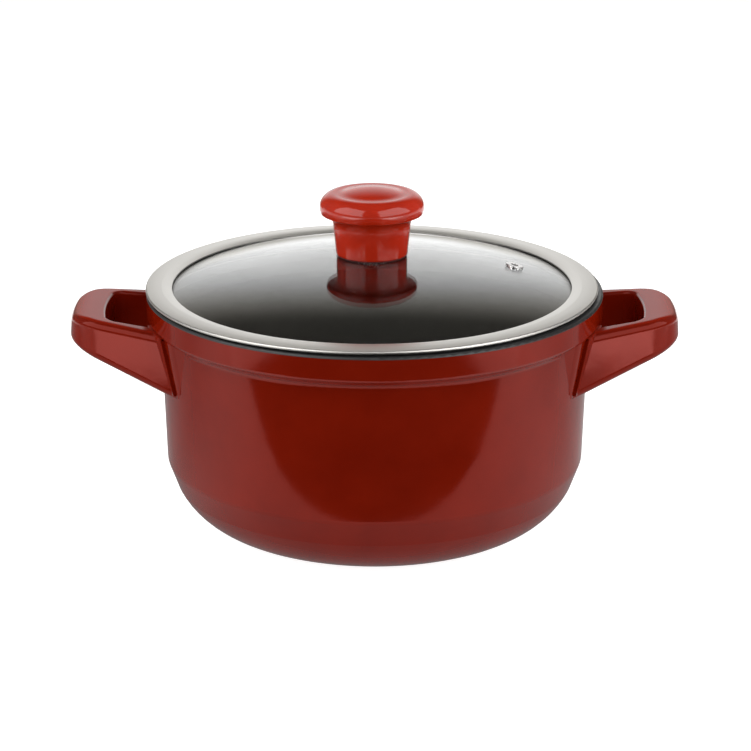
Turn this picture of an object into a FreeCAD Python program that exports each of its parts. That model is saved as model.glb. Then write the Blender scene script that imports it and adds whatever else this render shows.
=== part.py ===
import FreeCAD, Part
import math
import os
import types
import Sketcher
from FreeCAD import Placement, Rotation, Vector

# A lidded two-handled pot of enamelled cast aluminium, with a domed glass lid in a steel rim.
# Origin at the centre of the base, +Z up, +X along the two handles. Millimetres throughout.

DRIVING_SIZES = {
    # Pot, outside
    "lip_radius": 124.0,
    "pot_height": 130.0,
    "rim_band_foot": 117.0,
    "shoulder_foot": 112.0,
    "wall_top_radius": 116.8,
    "wall_foot_radius": 114.3,
    "wall_foot_height": 36.5,
    "crease_radius": 109.0,
    "crease_height": 22.2,
    "bottom_curve_radius": 41.8,
    "base_radius": 80.8,
    "base_recess_radius": 68.0,
    "base_recess_depth": 0.6,
    "base_edge_rounding": 1.5,
    "rim_band_rounding": 1.8,
    "shoulder_rounding": 3.0,
    "wall_foot_rounding": 7.0,
    # Pot, inside
    "mouth_radius": 118.0,
    "mouth_depth": 15.0,
    "inner_shoulder_depth": 21.0,
    "wall_thickness": 4.0,
    "floor_thickness": 5.0,
    "floor_corner_radius": 38.5,
    "inner_foot_radius": 110.2,
    "lip_rounding": 1.2,
    # Cast pads under the handles: flush with the rim band, fading into the wall below
    "pad_top_height": 121.0,
    "pad_foot_height": 83.0,
    "pad_foot_radius": 116.1,
    "pad_top_half_width": 58.0,
    "pad_foot_half_width": 50.0,
    "pad_ramp_width": 7.0,
    "pad_ramp_depth": 7.6,
    "pad_edge_setback": 1.8,
    "pad_edge_radius": 5.0,
    "pad_root_reach": 84.0,
    # Handles: a U in plan, a wedge from the side
    "handle_reach": 165.3,
    "handle_tip_half_width": 30.8,
    "handle_root_half_width": 43.5,
    "handle_root_reach": 119.0,
    "handle_blank_start": 98.0,
    "grip_depth": 19.4,
    "slot_tip_half_width": 26.8,
    "slot_root_half_width": 32.0,
    "handle_corner_radius": 24.0,
    "slot_corner_radius": 8.0,
    "handle_top_at_tip": 123.2,
    "handle_top_at_root": 117.3,
    "handle_nose_start": 151.0,
    "handle_nose_radius": 23.0,
    "handle_foot_at_tip": 106.4,
    "handle_foot_at_root": 86.9,
    "handle_blank_foot": 74.0,
    "handle_blank_height": 60.0,
    "handle_top_rounding": 4.6,
    "handle_foot_rounding": 4.4,
    "slot_rounding": 2.2,
    "handle_draft": 4.0,
    "draft_level": 108.0,
    "cutter_overrun": 6.0,
    "flange_thickness": 1.8,
    "flange_middle_angle": 19.0,
    "flange_span_angle": 11.8,
    "flange_top": 117.5,
    "band_relief_foot": 116.2,
    "flange_foot": 84.5,
    # Lugs cast on the pads, inside the handle arms, and the screws that hold the arms on
    "lug_half_thickness": 2.8,
    "lug_root_reach": 108.0,
    "lug_root_offset": 40.5,
    "lug_tip_reach": 135.0,
    "lug_tip_offset": 33.7,
    "lug_foot": 98.0,
    "lug_height": 12.0,
    "lug_gap": 0.1,
    "screw_reach": 127.5,
    "screw_offset": 35.6,
    "screw_radius": 1.75,
    "screw_head_radius": 3.0,
    "screw_head_height": 2.4,
    "screw_seat_height": 95.0,
    "screw_length": 13.0,
    "screw_slot_half_width": 0.45,
    "screw_slot_depth": 1.1,
    "screw_gap": 0.2,
    "counterbore_radius": 3.3,
    # Lid glass and its rim
    "lid_shift": -1.5,
    "dome_radius": 328.0,
    "glass_top": 149.9,
    "glass_thickness": 4.0,
    "glass_radius": 113.6,
    "glass_hole_radius": 4.2,
    "rim_edge_radius": 108.6,
    "rim_edge_height": 132.4,
    "rim_crown_radius": 114.2,
    "rim_crown_height": 133.6,
    "lid_rim_radius": 122.8,
    "rim_sheet": 0.7,
    "rim_roll_radius": 0.9,
    "rim_roll_lift": 1.0,
    "rim_land_radius": 120.2,
    "skirt_radius": 115.9,
    "skirt_foot": 123.5,
    "skirt_lip_radius": 109.8,
    "seal_edge_radius": 108.9,
    "seal_foot_radius": 110.3,
    # Steam vent eyelet, across its own tilted axis and along it from the glass
    "vent_tilt": 13.75,
    "vent_turn": 4.8,
    "vent_hole_radius": 3.2,
    "vent_barrel_radius": 3.1,
    "vent_bore_radius": 1.9,
    "vent_flange_radius": 4.9,
    "vent_flange_thickness": 0.9,
    "vent_foot_radius": 4.5,
    "vent_foot_thickness": 0.7,
    "vent_foot_gap": 0.04,
    "vent_flange_rounding": 0.4,
    # Knob, measured up from the foot of its stem
    "knob_stem_radius": 19.4,
    "knob_neck_radius": 20.9,
    "knob_neck_height": 15.6,
    "knob_flare_radius": 7.2,
    "knob_shelf_radius": 27.6,
    "knob_shelf_height": 22.8,
    "knob_cap_curve_radius": 7.6,
    "knob_crown_radius": 17.8,
    "knob_crown_height": 33.0,
    "knob_height": 36.3,
    "knob_crown_rounding": 12.0,
    "knob_stem_rounding": 0.8,
    "knob_cavity_radius": 16.4,
    "knob_cavity_depth": 19.0,
    "knob_cavity_rounding": 3.0,
    "knob_boss_radius": 7.6,
    # What holds the knob through the glass
    "gasket_thickness": 0.6,
    "gasket_radius": 18.9,
    "insert_radius": 4.2,
    "insert_sink": 0.5,
    "insert_length": 13.0,
    "bolt_radius": 2.5,
    "bolt_length": 18.0,
    "bolt_head_radius": 4.8,
    "bolt_head_height": 3.2,
    "bolt_head_rounding": 1.2,
    "bolt_slot_half_width": 0.6,
    "bolt_slot_depth": 1.6,
    "under_seal_radius": 9.0,
    "under_seal_foot": 144.7,
    "under_washer_radius": 10.0,
    "under_washer_thickness": 1.2,
}

SHEET_NAME = "Dimensions"
ON_AXIS = None


class Size:
    """A length that knows both its value and the sheet formula that gives it."""

    def __init__(self, value, formula):
        self.value = value
        self.formula = formula

    @staticmethod
    def of(thing):
        return thing if isinstance(thing, Size) else Size(float(thing), repr(float(thing)))

    def joined(self, other, sign, value):
        return Size(value, f"({self.formula} {sign} {Size.of(other).formula})")

    def __add__(self, other):
        return self.joined(other, "+", self.value + Size.of(other).value)

    def __sub__(self, other):
        return self.joined(other, "-", self.value - Size.of(other).value)

    def __mul__(self, other):
        return self.joined(other, "*", self.value * Size.of(other).value)

    def __truediv__(self, other):
        return self.joined(other, "/", self.value / Size.of(other).value)

    def __neg__(self):
        return Size(-self.value, f"(0 - {self.formula})")

    def root(self):
        return Size(math.sqrt(self.value), f"sqrt({self.formula})")


def make_sheet(doc):
    """Write every driving size into the sheet and hand them back by name."""
    sheet = doc.addObject("Spreadsheet::Sheet", SHEET_NAME)
    for row, (alias, value) in enumerate(DRIVING_SIZES.items(), start=1):
        sheet.set(f"A{row}", alias.replace("_", " "))
        sheet.set(f"B{row}", str(value))
        sheet.setAlias(f"B{row}", alias)
    doc.recompute()
    return types.SimpleNamespace(
        **{alias: Size(float(sheet.get(alias)), f"{SHEET_NAME}.{alias}") for alias in DRIVING_SIZES}
    )


DOC = FreeCAD.newDocument("stock_pot")
DIM = make_sheet(DOC)


# ---------------------------------------------------------------- sketch and feature helpers

def new_body(label):
    body = DOC.addObject("PartDesign::Body", label)
    body.Label = label
    return body


def origin_feature(body, role):
    return next(item for item in body.Origin.OriginFeatures if item.Role == role)


def new_sketch(body, name, role="XZ_Plane", lift=None, turn=None):
    """A sketch on an origin plane, lifted along its normal or turned about its upright axis."""
    sketch = body.newObject("Sketcher::SketchObject", name)
    sketch.AttachmentSupport = (origin_feature(body, role), "")
    sketch.MapMode = "FlatFace"
    if lift is not None:
        sketch.AttachmentOffset = Placement(Vector(0, 0, lift.value), Rotation())
        sketch.setExpression("AttachmentOffset.Base.z", lift.formula)
    if turn is not None:
        sketch.AttachmentOffset = Placement(Vector(), Rotation(Vector(0, 1, 0), turn))
    return sketch


def pin(sketch, geometry, point, corner):
    """Hold a point at its corner: on an axis where the coordinate is 0, else by a bound size."""
    for axis, axis_line, coordinate in (("X", -2, corner[0]), ("Y", -1, corner[1])):
        if coordinate is ON_AXIS:
            sketch.addConstraint(Sketcher.Constraint("PointOnObject", geometry, point, axis_line))
            continue
        index = sketch.addConstraint(
            Sketcher.Constraint("Distance" + axis, geometry, point, coordinate.value)
        )
        sketch.setExpression(f"Constraints[{index}]", coordinate.formula)


def arc_between(start, end, radius):
    """The short arc from start to end; a positive radius turns left, a negative one right."""
    chord = end - start
    half = chord.Length / 2
    rise = abs(radius) - math.sqrt(max(radius * radius - half * half, 0.0))
    to_the_right = Vector(chord.y, -chord.x, 0).normalize()
    middle = (start + end) / 2 + to_the_right * math.copysign(rise, radius)
    return Part.Arc(start, middle, end)


def draw(sketch, corners):
    """Draw a closed outline. A corner is (x, y), or (x, y, radius) where an arc leaves it."""
    points = [Vector(*(0 if c is ON_AXIS else c.value for c in corner[:2]), 0) for corner in corners]
    first = sketch.GeometryCount
    ends = []
    for index, corner in enumerate(corners):
        start, end = points[index], points[(index + 1) % len(points)]
        if len(corner) == 3:
            radius = corner[2]
            geometry = sketch.addGeometry(arc_between(start, end, radius.value), False)
            ends.append((1, 2) if radius.value > 0 else (2, 1))
        else:
            geometry = sketch.addGeometry(Part.LineSegment(start, end), False)
            ends.append((1, 2))
    count = len(corners)
    for index, corner in enumerate(corners):
        before = (index - 1) % count
        sketch.addConstraint(
            Sketcher.Constraint(
                "Coincident", first + before, ends[before][1], first + index, ends[index][0]
            )
        )
        pin(sketch, first + index, ends[index][0], corner)
        if len(corner) == 3:
            radius = corner[2]
            size = radius if radius.value > 0 else -radius
            held = sketch.addConstraint(Sketcher.Constraint("Radius", first + index, size.value))
            sketch.setExpression(f"Constraints[{held}]", size.formula)


def draw_circle(sketch, centre, radius):
    circle = Part.Circle(Vector(centre[0].value, centre[1].value, 0), Vector(0, 0, 1), radius.value)
    geometry = sketch.addGeometry(circle, False)
    pin(sketch, geometry, 3, centre)
    held = sketch.addConstraint(Sketcher.Constraint("Radius", geometry, radius.value))
    sketch.setExpression(f"Constraints[{held}]", radius.formula)


def turned(body, name, corners, kind="Revolution", angle=360.0, turn=None):
    """Turn an outline of (radius, height) corners about the upright axis; a Groove cuts it away."""
    sketch = new_sketch(body, name + "_profile", turn=turn)
    draw(sketch, corners)
    feature = body.newObject("PartDesign::" + kind, name)
    feature.Profile = sketch
    feature.ReferenceAxis = (sketch, ["V_Axis"])
    feature.Angle = angle
    feature.Midplane = angle < 360.0
    return feature


def extruded(body, name, sketch, length, kind="Pad", both_ways=False, backwards=False):
    """Pad or pocket a sketch by a bound length, from its plane or evenly to both sides of it."""
    feature = body.newObject("PartDesign::" + kind, name)
    feature.Profile = sketch
    feature.SideType = "Symmetric" if both_ways else "One side"
    feature.Length = length.value
    feature.setExpression("Length", length.formula)
    feature.Reversed = backwards
    return feature


def rounded(body, name, radius, wanted):
    """Fillet every edge of the body's last feature that the test picks."""
    DOC.recompute()
    base = body.Tip
    names = [
        f"Edge{i}" for i, edge in enumerate(base.Shape.Edges, start=1)
        if not edge.Degenerated and wanted(edge)
    ]
    if not names:
        raise RuntimeError(f"{body.Label}: {name} picks no edge")
    feature = body.newObject("PartDesign::Fillet", name)
    feature.Base = (base, names)
    feature.Radius = radius.value
    feature.setExpression("Radius", radius.formula)
    return feature


def must_change_volume(body, feature, by):
    """Stop where a feature left the volume as it was, or changed it the wrong way."""
    DOC.recompute()
    change = feature.Shape.Volume - feature.BaseFeature.Shape.Volume
    if change * by <= 0:
        raise RuntimeError(f"{body.Label}: {feature.Label} changed the volume by {change:.1f}")


def circle_at(edge, radius, height, slack=0.05):
    """Whether an edge is a full or part circle of this radius about the upright axis."""
    curve = edge.Curve
    if not isinstance(curve, Part.Circle):
        return False
    middle = curve.Center
    on_axis = math.hypot(middle.x, middle.y) < slack
    return on_axis and abs(curve.Radius - radius.value) < slack and abs(middle.z - height.value) < slack


# ---------------------------------------------------------------- the pot

def pad_section(body, name, height, radius, half_width):
    """The plan of a handle pad at one height: an arc of the pot's circle with ramped ends."""
    sketch = new_sketch(body, name, "XY_Plane", lift=height)
    inner_radius = radius - DIM.pad_ramp_depth
    ramp_end_y = half_width + DIM.pad_ramp_width
    ramp_end_x = (inner_radius * inner_radius - ramp_end_y * ramp_end_y).root()
    edge_x = (radius * radius - half_width * half_width).root()
    arc_y = half_width - DIM.pad_edge_setback
    arc_x = (radius * radius - arc_y * arc_y).root()
    share = DIM.pad_edge_setback / DIM.pad_ramp_depth
    ramp_x = edge_x + (ramp_end_x - edge_x) * share
    ramp_y = half_width + DIM.pad_ramp_width * share
    draw(sketch, [
        (DIM.pad_root_reach, -ramp_end_y),
        (ramp_end_x, -ramp_end_y),
        (ramp_x, -ramp_y, DIM.pad_edge_radius),
        (arc_x, -arc_y, radius),
        (arc_x, arc_y, DIM.pad_edge_radius),
        (ramp_x, ramp_y),
        (ramp_end_x, ramp_end_y),
        (DIM.pad_root_reach, ramp_end_y),
    ])
    return sketch


def mirrored_across_pot(body, name, originals):
    """Repeat features on the far side of the pot, across the plane between the two handles."""
    feature = body.newObject("PartDesign::Mirrored", name)
    feature.Originals = originals
    feature.MirrorPlane = (origin_feature(body, "YZ_Plane"), [""])
    body.Tip = feature
    return feature


def lug_corners(gap_side, gap_end, side):
    """The plan of one lug, which follows the middle of a handle arm."""
    half = DIM.lug_half_thickness + gap_side
    root_y, tip_y = DIM.lug_root_offset, DIM.lug_tip_offset
    tip_x = DIM.lug_tip_reach + gap_end
    corners = [
        (DIM.lug_root_reach, root_y - half),
        (tip_x, tip_y - half),
        (tip_x, tip_y + half),
        (DIM.lug_root_reach, root_y + half),
    ]
    if side > 0:
        return corners
    return [(x, -y) for x, y in reversed(corners)]


def make_pot_body():
    body = new_body("pot_body")
    turned(body, "outside", [
        (ON_AXIS, ON_AXIS),
        (DIM.base_radius, ON_AXIS, DIM.bottom_curve_radius),
        (DIM.crease_radius, DIM.crease_height),
        (DIM.wall_foot_radius, DIM.wall_foot_height),
        (DIM.wall_top_radius, DIM.shoulder_foot),
        (DIM.lip_radius, DIM.rim_band_foot),
        (DIM.lip_radius, DIM.pot_height),
        (ON_AXIS, DIM.pot_height),
    ])
    for name, size, radius, height in (
        ("rim_band_edge", DIM.rim_band_rounding, DIM.lip_radius, DIM.rim_band_foot),
        ("shoulder_edge", DIM.shoulder_rounding, DIM.wall_top_radius, DIM.shoulder_foot),
        ("wall_foot_edge", DIM.wall_foot_rounding, DIM.wall_foot_radius, DIM.wall_foot_height),
    ):
        rounded(body, name, size, lambda edge: circle_at(edge, radius, height))

    pad = body.newObject("PartDesign::AdditiveLoft", "handle_pad")
    pad.Profile = pad_section(
        body, "pad_foot", DIM.pad_foot_height, DIM.pad_foot_radius, DIM.pad_foot_half_width
    )
    pad.Sections = [
        pad_section(body, "pad_top", DIM.pad_top_height, DIM.lip_radius, DIM.pad_top_half_width)
    ]
    pad.Ruled = True
    must_change_volume(body, pad, +1)
    mirrored_across_pot(body, "handle_pads", [pad])

    inner_shoulder = DIM.pot_height - DIM.inner_shoulder_depth
    hollow = turned(body, "inside", [
        (ON_AXIS, DIM.floor_thickness),
        (DIM.inner_foot_radius - DIM.floor_corner_radius, DIM.floor_thickness, DIM.floor_corner_radius),
        (DIM.inner_foot_radius, DIM.floor_thickness + DIM.floor_corner_radius),
        (DIM.wall_top_radius - DIM.wall_thickness, inner_shoulder),
        (DIM.mouth_radius, DIM.pot_height - DIM.mouth_depth),
        (DIM.mouth_radius, DIM.pot_height),
        (ON_AXIS, DIM.pot_height),
    ], kind="Groove")
    must_change_volume(body, hollow, -1)

    recess = turned(body, "base_recess", [
        (ON_AXIS, ON_AXIS),
        (DIM.base_recess_radius, ON_AXIS),
        (DIM.base_recess_radius, DIM.base_recess_depth),
        (ON_AXIS, DIM.base_recess_depth),
    ], kind="Groove")
    must_change_volume(body, recess, -1)

    lug_plan = new_sketch(body, "lug_plan", "XY_Plane", lift=DIM.lug_foot)
    for side in (1, -1):
        draw(lug_plan, lug_corners(Size.of(0), Size.of(0), side))
    lugs = extruded(body, "lugs", lug_plan, DIM.lug_height)
    must_change_volume(body, lugs, +1)
    mirrored_across_pot(body, "all_lugs", [lugs])

    hole_plan = new_sketch(body, "tapped_hole_plan", "XY_Plane", lift=DIM.lug_foot)
    for reach in (DIM.screw_reach, -DIM.screw_reach):
        for offset in (DIM.screw_offset, -DIM.screw_offset):
            draw_circle(hole_plan, (reach, offset), DIM.screw_radius)
    holes = extruded(
        body, "tapped_holes", hole_plan, DIM.lug_height, kind="Pocket", backwards=True
    )
    must_change_volume(body, holes, -1)

    def lip_edge(edge):
        return any(circle_at(edge, r, DIM.pot_height) for r in (DIM.lip_radius, DIM.mouth_radius))

    rounded(body, "lip_edges", DIM.lip_rounding, lip_edge)
    rounded(
        body, "base_edge", DIM.base_edge_rounding,
        lambda edge: circle_at(edge, DIM.base_radius, Size.of(0)),
    )
    return body


# ---------------------------------------------------------------- the handles

def along(start, end, start_at, end_at, at):
    """The value at a place on the straight line through two known places."""
    return start + (end - start) * ((at - start_at) / (end_at - start_at))


def arm_width(root, tip, at):
    return along(root, tip, DIM.handle_root_reach, DIM.handle_reach, at)


def pad_radius(height):
    """The cone that the pads follow, between the pot's wall and its rim band."""
    return along(
        DIM.pad_foot_radius, DIM.lip_radius, DIM.pad_foot_height, DIM.pad_top_height, height
    )


def upright_edge_near(edge, reach, slack=6.0):
    box = edge.BoundBox
    upright = box.ZLength > 0.9 * DIM.handle_blank_height.value and box.XLength + box.YLength < 0.1
    return upright and abs(box.XMin - reach.value) < slack


def in_slot(edge):
    """Whether an edge lies along the inside of the U."""
    box = edge.BoundBox
    reach = DIM.handle_reach.value - DIM.grip_depth.value
    middle_y = abs(box.Center.y)
    limit = arm_width(DIM.slot_root_half_width, DIM.slot_tip_half_width, Size.of(box.Center.x))
    return box.XMax < reach + 0.1 and middle_y < limit.value + 1.0


def make_handle(label, turn):
    body = new_body(label)
    plan = new_sketch(body, "plan", "XY_Plane", lift=DIM.handle_blank_foot)
    start = DIM.handle_blank_start
    tip_y = DIM.handle_tip_half_width
    tip_x = (DIM.handle_reach * DIM.handle_reach - tip_y * tip_y).root()
    slot_reach = DIM.handle_reach - DIM.grip_depth
    slot_y = DIM.slot_tip_half_width
    slot_x = (slot_reach * slot_reach - slot_y * slot_y).root()
    outer_y = arm_width(DIM.handle_root_half_width, tip_y, start)
    inner_y = arm_width(DIM.slot_root_half_width, slot_y, start)
    draw(plan, [
        (start, -outer_y),
        (tip_x, -tip_y, DIM.handle_reach),
        (tip_x, tip_y),
        (start, outer_y),
        (start, inner_y),
        (slot_x, slot_y, -slot_reach),
        (slot_x, -slot_y),
        (start, -inner_y),
    ])
    extruded(body, "blank", plan, DIM.handle_blank_height)
    rounded(body, "outer_corners", DIM.handle_corner_radius, lambda e: upright_edge_near(e, tip_x))
    rounded(body, "slot_corners", DIM.slot_corner_radius, lambda e: upright_edge_near(e, slot_x))

    level = body.newObject("PartDesign::Plane", "draft_level")
    level.AttachmentSupport = [(origin_feature(body, "XY_Plane"), "")]
    level.MapMode = "FlatFace"
    level.AttachmentOffset = Placement(Vector(0, 0, DIM.draft_level.value), Rotation())
    level.setExpression("AttachmentOffset.Base.z", DIM.draft_level.formula)
    DOC.recompute()
    base = body.Tip
    outer_faces = [
        f"Face{i}" for i, face in enumerate(base.Shape.Faces, start=1)
        if face.BoundBox.ZLength > 0.9 * DIM.handle_blank_height.value
        and not in_slot(face) and face.BoundBox.XLength > DIM.screw_gap.value
    ]
    draft = body.newObject("PartDesign::Draft", "outer_draft")
    draft.Base = (base, outer_faces)
    draft.NeutralPlane = (level, [""])
    draft.Angle = DIM.handle_draft.value
    draft.setExpression("Angle", DIM.handle_draft.formula)
    DOC.recompute()

    side = new_sketch(body, "side_view", "XZ_Plane")
    beyond = DIM.handle_reach + DIM.cutter_overrun
    blank_top = DIM.handle_blank_foot + DIM.handle_blank_height

    def top_line(at):
        return along(
            DIM.handle_top_at_root, DIM.handle_top_at_tip, DIM.handle_root_reach, DIM.handle_reach, at
        )

    def foot_line(at):
        return along(
            DIM.handle_foot_at_root, DIM.handle_foot_at_tip, DIM.handle_root_reach, DIM.handle_reach, at
        )

    rise = DIM.handle_top_at_tip - DIM.handle_top_at_root
    slope = rise / (DIM.handle_reach - DIM.handle_root_reach)
    slant = (slope * slope + 1).root()
    nose, nose_radius = DIM.handle_nose_start, DIM.handle_nose_radius
    nose_middle = nose + nose_radius * slope / slant
    nose_level = top_line(nose) - nose_radius / slant

    def top_height(at):
        """The top runs straight from the pot, then rolls down over the nose."""
        if at.value <= nose.value:
            return top_line(at)
        run = at - nose_middle
        return nose_level + (nose_radius * nose_radius - run * run).root()

    draw(side, [
        (start, top_height(start)),
        (nose, top_height(nose), -nose_radius),
        (beyond, top_height(beyond)),
        (beyond, blank_top),
        (start, blank_top),
    ])
    draw(side, [
        (start, DIM.handle_blank_foot),
        (beyond, DIM.handle_blank_foot),
        (beyond, foot_line(beyond)),
        (start, foot_line(start)),
    ])
    wedge = extruded(body, "wedge_cut", side, DIM.handle_reach, kind="Pocket", both_ways=True)
    must_change_volume(body, wedge, -1)

    def on_line(edge, line):
        ends = (edge.Vertexes[0].Point, edge.Vertexes[-1].Point)
        across = edge.BoundBox.XLength < 0.1 and any(
            abs(p.x - at.value) < 0.1 for p in ends for at in (start, nose)
        )
        return not across and all(abs(p.z - line(Size.of(p.x)).value) < 0.05 for p in ends)

    rounded(
        body, "top_edges", DIM.handle_top_rounding,
        lambda e: on_line(e, top_height) and not in_slot(e),
    )
    rounded(
        body, "foot_edges", DIM.handle_foot_rounding,
        lambda e: on_line(e, foot_line) and not in_slot(e),
    )
    rounded(
        body, "slot_edges", DIM.slot_rounding,
        lambda e: (on_line(e, top_height) or on_line(e, foot_line)) and in_slot(e),
    )

    seat = turned(body, "seat_cut", [
        (ON_AXIS, DIM.handle_blank_foot),
        (pad_radius(DIM.handle_blank_foot), DIM.handle_blank_foot),
        (pad_radius(blank_top), blank_top),
        (ON_AXIS, blank_top),
    ], kind="Groove")
    must_change_volume(body, seat, -1)

    for name, sign in (("far_flange", -1), ("near_flange", 1)):
        flange = turned(body, name, [
            (pad_radius(DIM.flange_foot), DIM.flange_foot),
            (pad_radius(DIM.flange_foot) + DIM.flange_thickness, DIM.flange_foot),
            (pad_radius(DIM.flange_top) + DIM.flange_thickness, DIM.flange_top),
            (pad_radius(DIM.flange_top), DIM.flange_top),
        ], angle=DIM.flange_span_angle.value, turn=sign * DIM.flange_middle_angle.value)
        flange.setExpression("Angle", DIM.flange_span_angle.formula)
        must_change_volume(body, flange, +1)

    relief = turned(body, "band_relief", [
        (DIM.mouth_radius, DIM.band_relief_foot),
        (DIM.lip_radius, DIM.band_relief_foot),
        (DIM.lip_radius, blank_top),
        (DIM.mouth_radius, blank_top),
    ], kind="Groove")
    must_change_volume(body, relief, -1)

    pocket_plan = new_sketch(body, "lug_pocket_plan", "XY_Plane", lift=DIM.lug_foot - DIM.lug_gap)
    for sign in (1, -1):
        draw(pocket_plan, lug_corners(DIM.lug_gap, DIM.lug_gap, sign))
    pocket = extruded(
        body, "lug_pockets", pocket_plan, DIM.lug_height + DIM.lug_gap * 2, kind="Pocket",
        backwards=True,
    )
    must_change_volume(body, pocket, -1)

    for name, top, radius in (
        ("screw_holes", DIM.lug_foot, DIM.screw_radius + DIM.screw_gap),
        ("counterbores", DIM.screw_seat_height, DIM.counterbore_radius),
    ):
        hole_plan = new_sketch(body, name + "_plan", "XY_Plane", lift=top)
        for offset in (DIM.screw_offset, -DIM.screw_offset):
            draw_circle(hole_plan, (DIM.screw_reach, offset), radius)
        hole = extruded(body, name, hole_plan, top - DIM.handle_blank_foot, kind="Pocket")
        must_change_volume(body, hole, -1)

    body.Placement = Placement(Vector(), Rotation(Vector(0, 0, 1), turn))
    return body


def make_handle_screws():
    """Four slotted screws, driven up through the arms into the lugs."""
    body = new_body("handle_screws")
    for name, foot, radius, length in (
        ("shanks", DIM.screw_seat_height, DIM.screw_radius, DIM.screw_length),
        ("heads", DIM.screw_seat_height - DIM.screw_head_height, DIM.screw_head_radius,
         DIM.screw_head_height),
    ):
        plan = new_sketch(body, name + "_plan", "XY_Plane", lift=foot)
        for reach in (DIM.screw_reach, -DIM.screw_reach):
            for offset in (DIM.screw_offset, -DIM.screw_offset):
                draw_circle(plan, (reach, offset), radius)
        extruded(body, name, plan, length)

    slot_plan = new_sketch(
        body, "slot_plan", "XY_Plane", lift=DIM.screw_seat_height - DIM.screw_head_height
    )
    long, wide = DIM.screw_head_radius + DIM.screw_gap, DIM.screw_slot_half_width
    for reach in (DIM.screw_reach, -DIM.screw_reach):
        for offset in (DIM.screw_offset, -DIM.screw_offset):
            draw(slot_plan, [
                (reach - long, offset - wide),
                (reach + long, offset - wide),
                (reach + long, offset + wide),
                (reach - long, offset + wide),
            ])
    slots = extruded(
        body, "driver_slots", slot_plan, DIM.screw_slot_depth, kind="Pocket", backwards=True
    )
    must_change_volume(body, slots, -1)
    return body


# ---------------------------------------------------------------- the lid

def dome_height(radius, below_top):
    """Height of the domed glass at a radius; below_top steps down through its thickness."""
    sphere = DIM.dome_radius - below_top
    centre = DIM.glass_top - DIM.dome_radius
    return centre + (sphere * sphere - radius * radius).root()


def place_on_lid(body, turn=0.0):
    """The lid rests a little off centre, within the play of its skirt in the mouth."""
    body.Placement = Placement(Vector(DIM.lid_shift.value, 0, 0), Rotation(Vector(0, 0, 1), turn))
    body.setExpression("Placement.Base.x", DIM.lid_shift.formula)
    return body


def vent_sketch(body, name):
    """A sketch whose upright axis is the vent's, with its origin at the centre of the dome."""
    sketch = new_sketch(body, name)
    centre = DIM.glass_top - DIM.dome_radius
    tilt = Rotation(Vector(0, 0, -1), DIM.vent_tilt.value)
    sketch.AttachmentOffset = Placement(Vector(0, centre.value, 0), tilt)
    sketch.setExpression("AttachmentOffset.Base.y", centre.formula)
    return sketch


def make_lid_glass():
    body = new_body("lid_glass")
    none, full = Size.of(0), DIM.glass_thickness
    turned(body, "dome", [
        (DIM.glass_hole_radius, dome_height(DIM.glass_hole_radius, none), -DIM.dome_radius),
        (DIM.glass_radius, dome_height(DIM.glass_radius, none)),
        (DIM.glass_radius, dome_height(DIM.glass_radius, full), DIM.dome_radius - full),
        (DIM.glass_hole_radius, dome_height(DIM.glass_hole_radius, full)),
    ])
    profile = vent_sketch(body, "vent_hole_profile")
    draw(profile, [
        (ON_AXIS, DIM.dome_radius - full * 2),
        (DIM.vent_hole_radius, DIM.dome_radius - full * 2),
        (DIM.vent_hole_radius, DIM.dome_radius + full),
        (ON_AXIS, DIM.dome_radius + full),
    ])
    hole = body.newObject("PartDesign::Groove", "vent_hole")
    hole.Profile = profile
    hole.ReferenceAxis = (profile, ["V_Axis"])
    hole.Angle = 360
    must_change_volume(body, hole, -1)
    return place_on_lid(body, DIM.vent_turn.value)


def make_vent_eyelet():
    """A tubular steel rivet whose two flanges clamp the glass."""
    body = new_body("vent_eyelet")
    profile = vent_sketch(body, "eyelet_profile")
    top = DIM.dome_radius
    foot = DIM.dome_radius - DIM.glass_thickness - DIM.vent_foot_gap
    draw(profile, [
        (DIM.vent_bore_radius, foot - DIM.vent_foot_thickness),
        (DIM.vent_foot_radius, foot - DIM.vent_foot_thickness),
        (DIM.vent_foot_radius, foot),
        (DIM.vent_barrel_radius, foot),
        (DIM.vent_barrel_radius, top),
        (DIM.vent_flange_radius, top),
        (DIM.vent_flange_radius, top + DIM.vent_flange_thickness),
        (DIM.vent_bore_radius, top + DIM.vent_flange_thickness),
    ])
    eyelet = body.newObject("PartDesign::Revolution", "eyelet")
    eyelet.Profile = profile
    eyelet.ReferenceAxis = (profile, ["V_Axis"])
    eyelet.Angle = 360

    def top_edge(edge):
        curve = edge.Curve
        flanges = (DIM.vent_flange_radius.value, DIM.vent_bore_radius.value)
        if not isinstance(curve, Part.Circle) or min(abs(curve.Radius - f) for f in flanges) > 0.01:
            return False
        centre = Vector(0, 0, (DIM.glass_top - DIM.dome_radius).value)
        reach = (top + DIM.vent_flange_thickness).value
        return abs((curve.Center - centre).Length - reach) < 0.05

    rounded(body, "flange_edges", DIM.vent_flange_rounding, top_edge)
    return place_on_lid(body, DIM.vent_turn.value)


def crown_curves():
    """Radii of the two arcs that meet, level, on the crown of the steel rim."""
    outer_run = DIM.lid_rim_radius - DIM.rim_roll_radius - DIM.rim_crown_radius
    roll_top = DIM.pot_height + DIM.rim_roll_lift + DIM.rim_roll_radius * 2
    outer_drop = DIM.rim_crown_height - roll_top
    inner_run = DIM.rim_crown_radius - DIM.rim_edge_radius
    inner_drop = DIM.rim_crown_height - DIM.rim_edge_height
    return [
        (run * run + drop * drop) / (drop * 2)
        for run, drop in ((outer_run, outer_drop), (inner_run, inner_drop))
    ]


def under_rim(radius, curve):
    """Height of the underside of the rim's top sheet at a radius, on one of its two arcs."""
    inside = curve - DIM.rim_sheet
    run = radius - DIM.rim_crown_radius
    return DIM.rim_crown_height - curve + (inside * inside - run * run).root()


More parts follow.
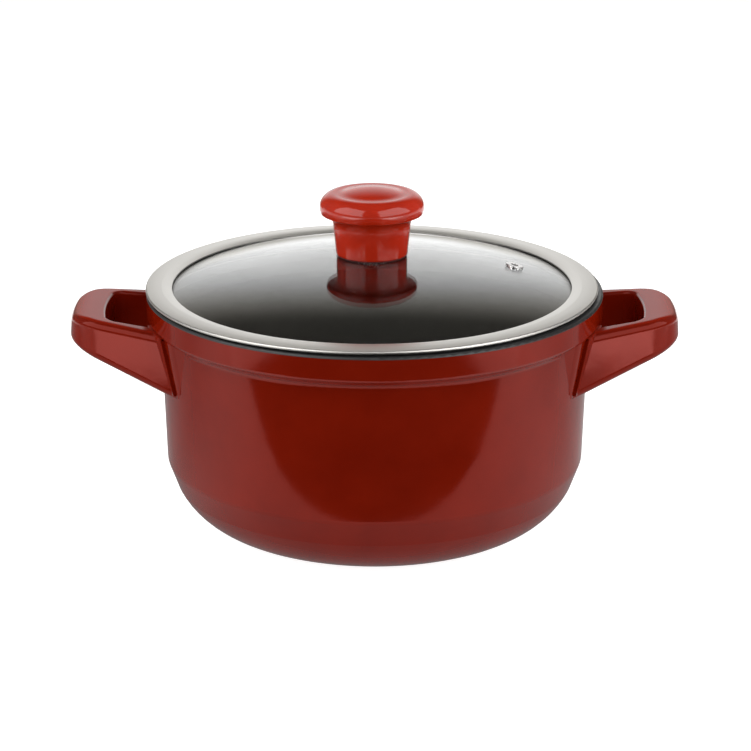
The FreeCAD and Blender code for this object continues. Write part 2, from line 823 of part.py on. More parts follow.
def make_lid_rim():
    """One steel sheet: over the glass edge, rolled back to a flat land, down a skirt and in again."""
    body = new_body("lid_rim")
    sheet, roll = DIM.rim_sheet, DIM.rim_roll_radius
    roll_at = DIM.lid_rim_radius - roll
    outer_curve, inner_curve = crown_curves()
    seat = DIM.pot_height
    roll_foot = seat + DIM.rim_roll_lift
    skirt_inside = DIM.skirt_radius - sheet
    turned(body, "rim", [
        (DIM.skirt_lip_radius, DIM.skirt_foot),
        (DIM.skirt_radius, DIM.skirt_foot),
        (DIM.skirt_radius, seat),
        (DIM.rim_land_radius, seat),
        (roll_at, roll_foot, roll),
        (DIM.lid_rim_radius, roll_foot + roll, roll),
        (roll_at, roll_foot + roll * 2, outer_curve),
        (DIM.rim_crown_radius, DIM.rim_crown_height, inner_curve),
        (DIM.rim_edge_radius, DIM.rim_edge_height),
        (DIM.rim_edge_radius, under_rim(DIM.rim_edge_radius, inner_curve), sheet - inner_curve),
        (DIM.rim_crown_radius, DIM.rim_crown_height - sheet, sheet - outer_curve),
        (roll_at, under_rim(roll_at, outer_curve)),
        (roll_at, roll_foot + sheet),
        (DIM.rim_land_radius, seat + sheet),
        (skirt_inside, seat + sheet),
        (skirt_inside, DIM.skirt_foot + sheet),
        (DIM.skirt_lip_radius, DIM.skirt_foot + sheet),
    ])
    return place_on_lid(body)


def make_rim_seal():
    """A silicone channel that holds the glass edge inside the steel rim."""
    body = new_body("rim_seal")
    none, full = Size.of(0), DIM.glass_thickness
    sheet = DIM.rim_sheet
    outer_curve, inner_curve = crown_curves()
    outside = DIM.skirt_radius - sheet
    turned(body, "seal", [
        (DIM.seal_edge_radius, under_rim(DIM.seal_edge_radius, inner_curve), sheet - inner_curve),
        (DIM.rim_crown_radius, DIM.rim_crown_height - sheet, sheet - outer_curve),
        (outside, under_rim(outside, outer_curve)),
        (outside, DIM.skirt_foot + sheet),
        (DIM.seal_foot_radius, DIM.skirt_foot + sheet),
        (DIM.seal_foot_radius, dome_height(DIM.seal_foot_radius, full), full - DIM.dome_radius),
        (DIM.glass_radius, dome_height(DIM.glass_radius, full)),
        (DIM.glass_radius, dome_height(DIM.glass_radius, none), DIM.dome_radius),
        (DIM.seal_edge_radius, dome_height(DIM.seal_edge_radius, none)),
    ])
    return place_on_lid(body)


# ---------------------------------------------------------------- the knob and its fixing

def stem_foot(radius):
    """The knob's underside follows the glass, one gasket above it."""
    return dome_height(radius, -DIM.gasket_thickness)


def make_knob():
    body = new_body("knob")
    foot = stem_foot(DIM.knob_stem_radius)
    crown_run, crown_rise = DIM.knob_crown_radius, DIM.knob_height - DIM.knob_crown_height
    crown_curve = (crown_run * crown_run + crown_rise * crown_rise) / (crown_rise * 2)
    turned(body, "outside", [
        (ON_AXIS, DIM.glass_top + DIM.gasket_thickness, -(DIM.dome_radius + DIM.gasket_thickness)),
        (DIM.knob_stem_radius, foot),
        (DIM.knob_neck_radius, foot + DIM.knob_neck_height, -DIM.knob_flare_radius),
        (DIM.knob_shelf_radius, foot + DIM.knob_shelf_height, DIM.knob_cap_curve_radius),
        (DIM.knob_crown_radius, foot + DIM.knob_crown_height, crown_curve),
        (ON_AXIS, foot + DIM.knob_height),
    ])
    rounded(
        body, "crown_edge", DIM.knob_crown_rounding,
        lambda edge: circle_at(edge, DIM.knob_crown_radius, foot + DIM.knob_crown_height),
    )
    rounded(
        body, "stem_edge", DIM.knob_stem_rounding,
        lambda edge: circle_at(edge, DIM.knob_stem_radius, foot),
    )
    cavity = turned(body, "cavity", [
        (DIM.knob_boss_radius, foot - DIM.cutter_overrun),
        (DIM.knob_cavity_radius, foot - DIM.cutter_overrun),
        (DIM.knob_cavity_radius, foot + DIM.knob_cavity_depth),
        (DIM.knob_boss_radius, foot + DIM.knob_cavity_depth),
    ], kind="Groove")
    must_change_volume(body, cavity, -1)
    rounded(
        body, "cavity_edge", DIM.knob_cavity_rounding,
        lambda edge: circle_at(edge, DIM.knob_cavity_radius, foot + DIM.knob_cavity_depth),
    )
    insert_top = DIM.glass_top + DIM.gasket_thickness + DIM.insert_sink + DIM.insert_length
    socket = turned(body, "insert_socket", [
        (ON_AXIS, foot - DIM.cutter_overrun),
        (DIM.insert_radius, foot - DIM.cutter_overrun),
        (DIM.insert_radius, insert_top),
        (ON_AXIS, insert_top),
    ], kind="Groove")
    must_change_volume(body, socket, -1)
    return place_on_lid(body)


def make_ring(label, inner, outer, foot, top):
    """A plain ring such as a washer or a bush."""
    body = new_body(label)
    turned(body, "ring", [(inner, foot), (outer, foot), (outer, top), (inner, top)])
    return place_on_lid(body)


def make_knob_insert():
    foot = DIM.glass_top + DIM.gasket_thickness + DIM.insert_sink
    return make_ring(
        "knob_insert", DIM.bolt_radius, DIM.insert_radius, foot, foot + DIM.insert_length
    )


def make_knob_gasket():
    """A thin silicone ring between the knob and the glass, curved like the glass."""
    body = new_body("knob_gasket")
    none, up = Size.of(0), -DIM.gasket_thickness
    turned(body, "gasket", [
        (DIM.glass_hole_radius, dome_height(DIM.glass_hole_radius, none), -DIM.dome_radius),
        (DIM.gasket_radius, dome_height(DIM.gasket_radius, none)),
        (DIM.gasket_radius, dome_height(DIM.gasket_radius, up), DIM.dome_radius + DIM.gasket_thickness),
        (DIM.glass_hole_radius, dome_height(DIM.glass_hole_radius, up)),
    ])
    return place_on_lid(body)


def make_under_seal():
    """A silicone washer under the glass: its top follows the dome, its foot is flat."""
    body = new_body("under_glass_seal")
    full = DIM.glass_thickness
    turned(body, "seal", [
        (DIM.bolt_radius, DIM.under_seal_foot),
        (DIM.under_seal_radius, DIM.under_seal_foot),
        (DIM.under_seal_radius, dome_height(DIM.under_seal_radius, full), DIM.dome_radius - full),
        (DIM.bolt_radius, dome_height(DIM.bolt_radius, full)),
    ])
    return place_on_lid(body)


def make_knob_screw():
    """The pan-head screw that draws the knob down on the glass from below."""
    body = new_body("knob_screw")
    seat = DIM.under_seal_foot - DIM.under_washer_thickness
    turned(body, "screw", [
        (ON_AXIS, seat - DIM.bolt_head_height),
        (DIM.bolt_head_radius, seat - DIM.bolt_head_height),
        (DIM.bolt_head_radius, seat),
        (DIM.bolt_radius, seat),
        (DIM.bolt_radius, seat + DIM.bolt_length),
        (ON_AXIS, seat + DIM.bolt_length),
    ])
    rounded(
        body, "head_edge", DIM.bolt_head_rounding,
        lambda edge: circle_at(edge, DIM.bolt_head_radius, seat - DIM.bolt_head_height),
    )
    plan = new_sketch(body, "slot_plan", "XY_Plane", lift=seat - DIM.bolt_head_height)
    long, wide = DIM.bolt_head_radius + DIM.screw_gap, DIM.bolt_slot_half_width
    draw(plan, [(-long, -wide), (long, -wide), (long, wide), (-long, wide)])
    slot = extruded(body, "driver_slot", plan, DIM.bolt_slot_depth, kind="Pocket", backwards=True)
    must_change_volume(body, slot, -1)
    return place_on_lid(body)


# ---------------------------------------------------------------- build, check and write

def make_all():
    washer_foot = DIM.under_seal_foot - DIM.under_washer_thickness
    return [
        make_pot_body(),
        make_handle("handle_right", 0.0),
        make_handle("handle_left", 180.0),
        make_handle_screws(),
        make_lid_glass(),
        make_rim_seal(),
        make_lid_rim(),
        make_vent_eyelet(),
        make_knob(),
        make_knob_insert(),
        make_knob_gasket(),
        make_under_seal(),
        make_ring(
            "knob_washer", DIM.bolt_radius, DIM.under_washer_radius, washer_foot, DIM.under_seal_foot
        ),
        make_knob_screw(),
    ]


def check(bodies):
    DOC.recompute()
    failed = [
        item.Name for item in DOC.Objects
        if any(word in state for state in item.State for word in ("Invalid", "Error"))
    ]
    if failed:
        raise RuntimeError("failed objects: " + ", ".join(failed))
    for body in bodies:
        if body.Shape.isNull() or not body.Shape.isValid() or not body.Shape.Solids:
            raise RuntimeError(f"{body.Label} has no sound shape")


def write(bodies):
    os.makedirs("parts", exist_ok=True)
    for body in bodies:
        body.Shape.exportStep(f"parts/{body.Label}.step")
        box = body.Shape.BoundBox
        print(
            f"{body.Label}: {len(body.Shape.Solids)} solid(s), {body.Shape.Volume / 1000:.2f} cm3, "
            f"{box.XLength:.1f} x {box.YLength:.1f} x {box.ZLength:.1f}"
        )


BODIES = make_all()
check(BODIES)
write(BODIES)
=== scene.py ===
import math

import bpy
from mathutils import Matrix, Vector

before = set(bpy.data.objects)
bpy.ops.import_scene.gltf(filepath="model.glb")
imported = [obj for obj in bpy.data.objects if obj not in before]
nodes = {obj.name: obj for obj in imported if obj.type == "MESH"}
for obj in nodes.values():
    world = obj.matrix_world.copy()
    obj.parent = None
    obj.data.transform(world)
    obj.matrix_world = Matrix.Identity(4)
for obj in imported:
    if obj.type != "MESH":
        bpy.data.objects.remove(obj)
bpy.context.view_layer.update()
MM = 0.001
WHITE = (1.0, 1.0, 1.0)


# ---------------------------------------------------------------- node graphs

def with_alpha(value):
    """A colour of three numbers gets its fourth; anything else stays as it is."""
    return (*value, 1.0) if isinstance(value, tuple) and len(value) == 3 else value


class Graph:
    """A material and short names for the shader nodes that it is built from."""

    def __init__(self, name):
        self.material = bpy.data.materials.new(name)
        self.material.use_nodes = True
        self.tree = self.material.node_tree
        self.tree.nodes.clear()
        self.place = None

    def add(self, kind, **settings):
        node = self.tree.nodes.new("ShaderNode" + kind)
        for key, value in settings.items():
            setattr(node, key, value)
        return node

    def feed(self, socket, value):
        if isinstance(value, bpy.types.NodeSocket):
            self.tree.links.new(value, socket)
        elif value is not None:
            socket.default_value = value

    def math(self, operation, first, second=None, third=None):
        node = self.add("Math", operation=operation)
        for socket, value in zip(node.inputs, (first, second, third)):
            self.feed(socket, value)
        return node.outputs[0]

    def hypotenuse(self, first, second):
        """The square root of the sum of two squares."""
        squares = self.math(
            "ADD", self.math("MULTIPLY", first, first), self.math("MULTIPLY", second, second)
        )
        return self.math("SQRT", squares)

    def coordinates(self):
        """The place on the object, in metres."""
        if self.place is None:
            self.place = self.add("TexCoord").outputs["Object"]
        return self.place

    def split(self):
        node = self.add("SeparateXYZ")
        self.feed(node.inputs[0], self.coordinates())
        return node.outputs

    def radius(self, x_shift=0.0):
        """Distance from the upright axis, in millimetres."""
        x, y, _ = self.split()
        return self.math("MULTIPLY", self.hypotenuse(self.math("ADD", x, x_shift), y), 1 / MM)

    def angle(self, x_shift=0.0):
        """Angle round the upright axis, in radians."""
        x, y, _ = self.split()
        return self.math("ARCTAN2", y, self.math("ADD", x, x_shift))

    def height(self):
        """Height above the surface that the pot stands on, in millimetres."""
        return self.math("MULTIPLY", self.split()[2], 1 / MM)

    def noise(self, scale, detail=2.0, roughness=0.5, vector=None, distortion=0.0):
        """Smooth noise; scale is in waves a metre where no vector is given."""
        node = self.add("TexNoise")
        self.feed(node.inputs["Vector"], vector or self.coordinates())
        node.inputs["Scale"].default_value = scale
        node.inputs["Detail"].default_value = detail
        node.inputs["Roughness"].default_value = roughness
        node.inputs["Distortion"].default_value = distortion
        return node.outputs["Fac"]

    def span(self, value, low, high, start=0.0, end=1.0, smooth=False):
        """Maps a value from one range onto another, held at the ends."""
        node = self.add("MapRange", clamp=True)
        if smooth:
            node.interpolation_type = "SMOOTHSTEP"
        for socket, given in zip(node.inputs, (value, low, high, start, end)):
            self.feed(socket, given)
        return node.outputs[0]

    def patches(self, scale, start=0.0, end=1.0, detail=3.0, spread=0.2):
        """Noise whose middle, spread to each side of a half, is stretched over start to end."""
        return self.span(self.noise(scale, detail), 0.5 - spread, 0.5 + spread, start, end)

    def blend(self, share, first, second):
        """The first colour where share is 0, the second where it is 1."""
        node = self.add("Mix", data_type="RGBA")
        self.feed(node.inputs["Factor"], share)
        for socket, colour in ((node.inputs[6], first), (node.inputs[7], second)):
            self.feed(socket, with_alpha(colour))
        return node.outputs[2]

    def bump(self, height, distance, strength, normal=None):
        node = self.add("Bump")
        node.inputs["Strength"].default_value = strength
        node.inputs["Distance"].default_value = distance
        self.feed(node.inputs["Height"], height)
        self.feed(node.inputs["Normal"], normal)
        return node.outputs["Normal"]

    def wire(self, shader):
        """Sends the shader to the output and hands back the finished material."""
        output = self.add("OutputMaterial")
        self.tree.links.new(shader.outputs[0], output.inputs["Surface"])
        return self.material

    def surface(self, **values):
        """One Principled shader, whose inputs are named with _ for each space."""
        shader = self.add("BsdfPrincipled")
        for name, value in values.items():
            self.feed(shader.inputs[name.replace("_", " ")], with_alpha(value))
        return self.wire(shader)

    def emission(self, strength, colour=WHITE):
        """Plain light of its own, for the studio's cards."""
        shader = self.add("Emission")
        self.feed(shader.inputs["Color"], with_alpha(colour))
        self.feed(shader.inputs["Strength"], strength)
        return self.wire(shader)


# ---------------------------------------------------------------- materials

ENAMEL_DEEP, ENAMEL_LIGHT = (0.094, 0.0036, 0.0004), (0.112, 0.0048, 0.0008)
# Painted light: a lighter red for the handles' flat tops, standing in for light that they reflect
HANDLE_TOP_PAINTED_LIGHT = (0.165, 0.0075, 0.0015)
ENAMEL_TINT = (1.0, 0.29, 0.255)
KNOB_DEEP, KNOB_LIGHT = (0.262, 0.0105, 0.0022), (0.315, 0.0140, 0.0032)
COATING, COATING_FLECK = (0.0065, 0.0065, 0.0068), (0.016, 0.016, 0.016)
METAL_GROOVE, METAL_RIDGE = (0.50, 0.49, 0.48), (0.62, 0.61, 0.60)
# Radians of ripple for each millimetre of radius on the turned base
TURNING_RINGS = 9.0

# The surface between the enamelled outside and the coated inside, in millimetres. It runs
# inside the metal: a rounded corner at the bottom, a wall that widens slowly, a shoulder that
# widens fast, and the rim band. Above the lip's start the black covers all: on the lip it is the
# real coating, and just below the lip on the outside it is partly painted shade of the gap under the
# lid's rim.
CORNER_TOP, CORNER_CENTRE, CORNER_RADIUS = 43.5, 71.7, 40.5
WALL_RADIUS, WALL_SLOPE = 112.3, 0.03
SHOULDER_HEIGHT, SHOULDER_RADIUS, SHOULDER_SLOPE = 112.0, 116.1, 1.1
BAND_RADIUS = 121.0
LIP_AND_GAP_SHADE_START = 128.6
# The bare underside lies within these
BASE_HEIGHT, BASE_RADIUS = 0.7, 81.0

# The rolled edge of the lid's steel rim, in millimetres about the lid's own axis
ROLL_LEVEL, ROLL_RADIUS, ROLL_START = 131.9, 0.9, 121.92
# The lid sits this far to the left of the pot's axis
LID_SHIFT = 1.5 * MM


def orange_peel(graph):
    """The slow waviness of a thick glossy enamel, with a little fine grain on it."""
    waves = graph.bump(graph.noise(55.0, 1.0), 0.16 * MM, 0.55)
    return graph.bump(graph.noise(420.0, 1.0), 0.012 * MM, 0.6, waves)


def enamel_colour(graph):
    return graph.blend(graph.patches(38.0), ENAMEL_DEEP, ENAMEL_LIGHT)


def enamel_roughness(graph):
    return graph.patches(22.0, 0.075, 0.125, spread=0.25)


def upward(graph):
    """1 where the surface faces up, falling to 0 on the slopes."""
    facing = graph.add("SeparateXYZ")
    graph.feed(facing.inputs[0], graph.add("TexCoord").outputs["Normal"])
    slope, level = 0.80, 0.97
    return graph.span(facing.outputs[2], slope, level, smooth=True)


def make_handle_enamel():
    """The same enamel; the flat tops are duller, and their lighter red is painted light standing in
    for part of their reflection.
    """
    graph = Graph("handle_enamel")
    # Where the handle faces up, the colour takes the painted light and the reflection drops
    top = upward(graph)
    return graph.surface(
        Base_Color=graph.blend(top, enamel_colour(graph), HANDLE_TOP_PAINTED_LIGHT),
        Roughness=enamel_roughness(graph), Specular_Tint=ENAMEL_TINT,
        Specular_IOR_Level=graph.span(top, 0.0, 1.0, 0.37, 0.09), Normal=orange_peel(graph),
    )


def coated_share(graph, radius, height):
    """1 on the inside of the pot, on its lip and just below the lip outside, where the black is partly
    painted shade; 0 on the rest of the outside.
    """
    below = graph.math("LESS_THAN", height, CORNER_TOP)
    across = graph.math("MAXIMUM", graph.math("SUBTRACT", radius, CORNER_CENTRE), 0.0)
    down = graph.math("MINIMUM", graph.math("SUBTRACT", height, CORNER_TOP), 0.0)
    corner = graph.hypotenuse(across, down)
    in_bowl = graph.math("MULTIPLY", below, graph.math("LESS_THAN", corner, CORNER_RADIUS))

    wall_foot = WALL_RADIUS - WALL_SLOPE * CORNER_TOP
    wall = graph.math("MULTIPLY_ADD", height, WALL_SLOPE, wall_foot)
    shoulder_foot = SHOULDER_RADIUS - SHOULDER_SLOPE * SHOULDER_HEIGHT
    shoulder = graph.math("MULTIPLY_ADD", height, SHOULDER_SLOPE, shoulder_foot)
    split_line = graph.math("MAXIMUM", wall, graph.math("MINIMUM", shoulder, BAND_RADIUS))
    above = graph.math("SUBTRACT", 1.0, below)
    in_wall = graph.math("MULTIPLY", above, graph.math("LESS_THAN", radius, split_line))
    # Black above this height: the coating over the lip, and down the outside partly painted shade of
    # the gap under the lid's rim
    lip_and_gap_shade = graph.math("GREATER_THAN", height, LIP_AND_GAP_SHADE_START)
    return graph.math("MAXIMUM", graph.math("MAXIMUM", in_bowl, in_wall), lip_and_gap_shade)


def bare_share(graph, radius, height):
    """1 on the machined underside, 0 elsewhere."""
    low = graph.math("LESS_THAN", height, BASE_HEIGHT)
    return graph.math("MULTIPLY", low, graph.math("LESS_THAN", radius, BASE_RADIUS))


def make_pot_enamel():
    """Red enamel outside, a black coating inside and over the lip, black just below the lip that is
    partly painted shade, and a bare turned base.
    """
    graph = Graph("pot_enamel")
    radius, height = graph.radius(), graph.height()
    inside, bare = coated_share(graph, radius, height), bare_share(graph, radius, height)

    fleck = graph.span(graph.noise(900.0, 2.0), 0.62, 0.70)
    coating = graph.blend(fleck, COATING, COATING_FLECK)
    rings = graph.math("SINE", graph.math("MULTIPLY", radius, TURNING_RINGS))
    turning = graph.span(graph.math("ADD", rings, graph.noise(200.0)), -1.0, 2.0)
    metal = graph.blend(turning, METAL_GROOVE, METAL_RIDGE)
    colour = graph.blend(inside, enamel_colour(graph), coating)
    colour = graph.blend(bare, colour, metal)

    enamelled = graph.math("SUBTRACT", 1.0, inside)
    roughness = graph.math("MULTIPLY", enamelled, enamel_roughness(graph))
    rough_coating = graph.patches(160.0, 0.40, 0.50, detail=2.0)
    roughness = graph.math("MULTIPLY_ADD", inside, rough_coating, roughness)
    roughness = graph.math("MAXIMUM", roughness, graph.math("MULTIPLY", bare, 0.33))

    grain = graph.bump(graph.noise(1400.0, 1.0), 0.02 * MM, 0.25, orange_peel(graph))
    grooves = graph.math("MULTIPLY", turning, bare)
    not_enamel = graph.math("MAXIMUM", inside, bare)
    return graph.surface(
        Base_Color=colour, Roughness=roughness, Metallic=bare,
        Specular_Tint=graph.blend(not_enamel, ENAMEL_TINT, WHITE),
        Specular_IOR_Level=0.62, Normal=graph.bump(grooves, 0.05 * MM, 0.6, grain),
    )


def make_knob_plastic():
    """Moulded plastic, brighter than the enamel and duller on its crown."""
    graph = Graph("knob_plastic")
    return graph.surface(
        Base_Color=graph.blend(graph.patches(60.0), KNOB_DEEP, KNOB_LIGHT),
        Roughness=graph.patches(40.0, 0.09, 0.13, detail=2.0),
        Specular_IOR_Level=graph.span(upward(graph), 0.0, 1.0, 0.42, 0.13),
        Normal=graph.bump(graph.noise(90.0, 1.0), 0.05 * MM, 0.4),
    )


def make_glass():
    """Clear glass with faint smears and a barely uneven surface."""
    graph = Graph("clear_glass")
    smears = graph.noise(16.0, 4.0, 0.6, distortion=0.6)
    return graph.surface(
        Base_Color=graph.blend(smears, (0.955, 0.975, 0.965), (0.985, 0.995, 0.99)),
        Roughness=graph.span(smears, 0.45, 0.8, 0.0, 0.035),
        IOR=1.5, Transmission_Weight=1.0,
        Normal=graph.bump(graph.noise(26.0, 1.0), 0.05 * MM, 0.25),
    )


def ring_grain(graph, x_shift):
    """Fine scratches round the upright axis: many a millimetre across, few along each ring."""
    across, along = 9.0, 14.0
    vector = graph.add("CombineXYZ")
    graph.feed(vector.inputs[0], graph.math("MULTIPLY", graph.radius(x_shift), across))
    graph.feed(vector.inputs[1], graph.math("MULTIPLY", graph.angle(x_shift), along))
    graph.feed(vector.inputs[2], graph.math("MULTIPLY", graph.height(), across))
    return graph.noise(1.0, 2.0, 0.6, vector.outputs[0])


def rolled_edge_normal(graph, x_shift):
    """The round normal of the rim's rolled edge, which has too few facets to look round."""
    rise = graph.math("DIVIDE", graph.math("SUBTRACT", graph.height(), ROLL_LEVEL), ROLL_RADIUS)
    rise = graph.math("MINIMUM", graph.math("MAXIMUM", rise, -1.0), 1.0)
    out = graph.math("SQRT", graph.math("SUBTRACT", 1.0, graph.math("MULTIPLY", rise, rise)))
    angle = graph.angle(x_shift)
    normal = graph.add("CombineXYZ")
    graph.feed(normal.inputs[0], graph.math("MULTIPLY", out, graph.math("COSINE", angle)))
    graph.feed(normal.inputs[1], graph.math("MULTIPLY", out, graph.math("SINE", angle)))
    graph.feed(normal.inputs[2], rise)
    on_roll = graph.math("GREATER_THAN", graph.radius(x_shift), ROLL_START)
    choice = graph.add("Mix", data_type="VECTOR")
    graph.feed(choice.inputs["Factor"], on_roll)
    graph.feed(choice.inputs[4], graph.add("NewGeometry").outputs["Normal"])
    graph.feed(choice.inputs[5], normal.outputs[0])
    return choice.outputs[1]


def make_brushed_rim():
    """Steel sheet brushed in rings."""
    graph = Graph("brushed_steel_rim")
    grain = ring_grain(graph, LID_SHIFT)
    return graph.surface(
        Base_Color=graph.blend(grain, (0.53, 0.515, 0.485), (0.65, 0.635, 0.605)),
        Roughness=graph.span(grain, 0.25, 0.75, 0.32, 0.46), Metallic=1.0,
        Normal=graph.bump(grain, 0.02 * MM, 0.5, rolled_edge_normal(graph, LID_SHIFT)),
    )


def make_turned_metal(name, dark, light, grain_scale, roughness, depth):
    """Bare metal off a lathe, with a fine grain; roughness is its lowest and highest."""
    graph = Graph(name)
    grain = graph.noise(grain_scale, 3.0, 0.6)
    return graph.surface(
        Base_Color=graph.blend(grain, dark, light),
        Roughness=graph.span(grain, 0.3, 0.7, *roughness), Metallic=1.0,
        Normal=graph.bump(grain, 0.01 * MM, depth),
    )


def make_silicone(name, clean, dusty):
    """Matt silicone with a little dust on it."""
    graph = Graph(name)
    dust = graph.noise(350.0, 4.0, 0.65)
    return graph.surface(
        Base_Color=graph.blend(graph.span(dust, 0.4, 0.75), clean, dusty),
        Roughness=graph.span(dust, 0.3, 0.7, 0.5, 0.68), Specular_IOR_Level=0.35,
        Normal=graph.bump(dust, 0.02 * MM, 0.5),
    )


handle_enamel = make_handle_enamel()
steel = make_turned_metal(
    "turned_steel", (0.52, 0.51, 0.50), (0.72, 0.71, 0.70), 900.0, (0.18, 0.34), 0.4
)
brass = make_turned_metal(
    "turned_brass", (0.52, 0.36, 0.13), (0.70, 0.52, 0.22), 800.0, (0.22, 0.36), 0.5
)
black_silicone = make_silicone("black_silicone", (0.010, 0.010, 0.011), (0.026, 0.026, 0.027))
maroon_silicone = make_silicone("maroon_silicone", (0.045, 0.004, 0.003), (0.065, 0.008, 0.006))
LOOKS = {
    "pot_body": make_pot_enamel(),
    "handle_right": handle_enamel,
    "handle_left": handle_enamel,
    "handle_screws": steel,
    "lid_glass": make_glass(),
    "rim_seal": black_silicone,
    "lid_rim": make_brushed_rim(),
    "vent_eyelet": steel,
    "knob": make_knob_plastic(),
    "knob_insert": brass,
    "knob_gasket": maroon_silicone,
    "under_glass_seal": black_silicone,
    "knob_washer": steel,
    "knob_screw": steel,
}
for name, look in LOOKS.items():
    nodes[name].material_slots[0].material = look


# ---------------------------------------------------------------- stage and light

def flat(name, corners, material):
    """A flat card that belongs to the studio, not to the object."""
    mesh = bpy.data.meshes.new(name)
    mesh.from_pydata(corners, [], [tuple(range(len(corners)))])
    card = bpy.data.objects.new(name, mesh)
    mesh.materials.append(material)
    bpy.context.scene.collection.objects.link(card)
    return card


def lying(left, right, front, back, height):
    """The corners of a level rectangle."""
    return [(left, front, height), (right, front, height), (right, back, height), (left, back, height)]


def standing(first, second, foot, top):
    """The corners of an upright rectangle between two places on the plan."""
    return [(*first, foot), (*second, foot), (*second, top), (*first, top)]


def glow(name, strength):
    return Graph(name + "_glow").emission(strength)


def seen_only_in_gloss(card):
    card.visible_camera = False
    card.visible_diffuse = False
    card.visible_shadow = False
    card.visible_transmission = False


FLOOR_HALF, FLOOR_Z = 30.0, -0.2 * MM
FLAG_Z, NEAR_Z, BRIGHT_Z = 1.0 * MM, 0.8 * MM, 1.4 * MM

floor_graph = Graph("studio_floor")
floor_look = floor_graph.surface(
    Base_Color=floor_graph.blend(floor_graph.noise(3.0), (0.34, 0.34, 0.34), (0.36, 0.36, 0.36)),
    Roughness=0.95, Specular_IOR_Level=0.0, Emission_Color=WHITE, Emission_Strength=0.93,
)
flat("floor", lying(-FLOOR_HALF, FLOOR_HALF, -FLOOR_HALF, FLOOR_HALF, FLOOR_Z), floor_look)

# What the enamel mirrors low down in front: a dark strip between two bright ones, just above
# the floor
FLOOR_CARDS = {
    "dark_flag": (lying(-0.380, 0.345, -2.5, -0.190, FLAG_Z), 0.015),
    "bright_left": (lying(-1.6, -0.40, -1.5, -0.44, BRIGHT_Z), 5.2),
    "bright_right": (lying(0.44, 1.6, -1.5, -0.46, BRIGHT_Z), 6.4),
}
for name, (corners, strength) in FLOOR_CARDS.items():
    seen_only_in_gloss(flat(name, corners, glow(name, strength)))


def near_floor_glow():
    """The floor as the enamel mirrors it: dim under the pot, and dimmer behind than in front."""
    graph = Graph("near_floor_glow")
    x, y, _ = graph.split()
    behind = graph.span(x, -0.1, 0.1, 0.33, 0.45)
    by_depth = graph.span(y, -0.17, 0.06, 1.12, behind, smooth=True)
    by_radius = graph.span(graph.hypotenuse(x, y), 0.085, 0.170, 0.25, 1.0)
    return graph.emission(graph.math("MULTIPLY", by_depth, by_radius))


seen_only_in_gloss(flat("near_floor", lying(-0.7, 0.7, -0.19, 0.42, NEAR_Z), near_floor_glow()))

# Two tall boxes in front, which the pot's wall mirrors as its paler sides
SOFTBOX_FOOT, SOFTBOX_TOP = 0.33, 1.62
SOFTBOXES = {
    "softbox_left": ((-0.372, -0.97), (-0.98, 0.02), 2.9),
    "softbox_right": ((0.344, -1.15), (1.00, 0.03), 2.8),
}
for name, (inner, outer, strength) in SOFTBOXES.items():
    box = flat(name, standing(inner, outer, SOFTBOX_FOOT, SOFTBOX_TOP), glow(name, strength))
    box.visible_camera = False

# Light from the sides that reaches matt surfaces only
FILL_REACH, FILL_DEPTH, FILL_FOOT, FILL_TOP = 1.3, 0.9, 0.05, 1.5
for name, x, strength in (("fill_left", -FILL_REACH, 4.2), ("fill_right", FILL_REACH, 4.8)):
    corners = standing((x, -FILL_DEPTH), (x, FILL_DEPTH), FILL_FOOT, FILL_TOP)
    fill = flat(name, corners, glow(name, strength))
    fill.visible_camera = False
    fill.visible_glossy = False
    fill.visible_transmission = False

BACK_HALF, BACK_Y, BACK_FOOT, BACK_TOP = 1.1, 1.0, 0.005, 1.7
# The bright spot on the card behind: its height, and how much it is squeezed above and below
SPOT_HEIGHT, SPOT_ABOVE, SPOT_BELOW = 0.40, 0.75, 1.3
SPOT_INNER, SPOT_OUTER, SPOT_BRIGHT, SPOT_DIM = 0.15, 0.70, 1.44, 0.13
SPOT_EDGE_COLOUR = (1.0, 0.93, 0.80)


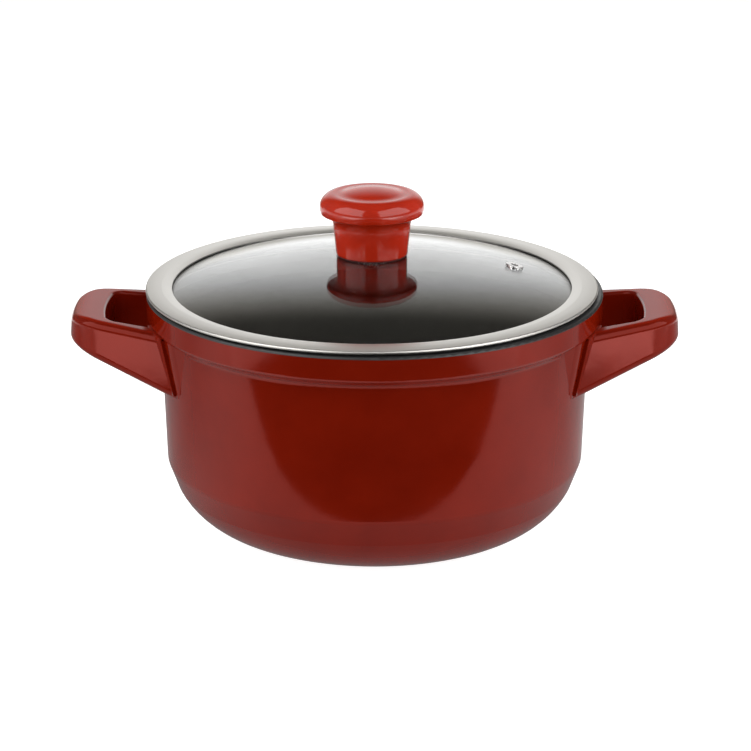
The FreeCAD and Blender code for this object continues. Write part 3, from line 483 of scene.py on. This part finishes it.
def back_spot_glow():
    """A soft spot that fades outwards and turns a little warmer as it does."""
    graph = Graph("back_spot_glow")
    x, _, z = graph.split()
    rise = graph.math("SUBTRACT", z, SPOT_HEIGHT)
    rise = graph.math(
        "MAXIMUM", graph.math("MULTIPLY", rise, SPOT_ABOVE), graph.math("MULTIPLY", rise, -SPOT_BELOW)
    )
    reach = graph.hypotenuse(x, rise)
    level = graph.span(reach, SPOT_INNER, SPOT_OUTER, SPOT_BRIGHT, SPOT_DIM, smooth=True)
    return graph.emission(level, graph.blend(graph.span(level, 0.1, 1.1), SPOT_EDGE_COLOUR, WHITE))


back_corners = standing((-BACK_HALF, BACK_Y), (BACK_HALF, BACK_Y), BACK_FOOT, BACK_TOP)
back = flat("back_spot", back_corners, back_spot_glow())
back.visible_camera = False


# The air is dim as a light and white behind the object
AIR_LIGHT, AIR_SEEN = 0.17, 1.0
world = bpy.data.worlds.new("studio_air")
bpy.context.scene.world = world
world.use_nodes = True
air = world.node_tree
air.nodes.clear()
path, choice = air.nodes.new("ShaderNodeLightPath"), air.nodes.new("ShaderNodeMixShader")
air.links.new(path.outputs["Is Camera Ray"], choice.inputs[0])
for socket, strength in zip(choice.inputs[1:], (AIR_LIGHT, AIR_SEEN)):
    background = air.nodes.new("ShaderNodeBackground")
    background.inputs["Color"].default_value = with_alpha(WHITE)
    background.inputs["Strength"].default_value = strength
    air.links.new(background.outputs[0], socket)
air.links.new(choice.outputs[0], air.nodes.new("ShaderNodeOutputWorld").inputs["Surface"])

# ---------------------------------------------------------------- camera

# The tilt comes from the ellipses of the lid's rim and the base in the photograph
CAMERA_DISTANCE, CAMERA_TILT = 1.6, math.radians(18.2)
AIM = Vector((0.00044, 0.0, 0.0799))
FOCAL_LENGTH, SENSOR_WIDTH = 139.54, 36.0
lens = bpy.data.cameras.new("camera")
lens.lens, lens.sensor_width = FOCAL_LENGTH, SENSOR_WIDTH
lens.clip_start, lens.clip_end = 0.05, 100.0
camera = bpy.data.objects.new("camera", lens)
bpy.context.scene.collection.objects.link(camera)
away = Vector((0.0, -math.cos(CAMERA_TILT), math.sin(CAMERA_TILT)))
camera.location = AIM + away * CAMERA_DISTANCE
camera.rotation_euler = (math.radians(90.0) - CAMERA_TILT, 0.0, 0.0)
bpy.context.scene.camera = camera
bpy.context.scene.view_settings.view_transform = "Standard"
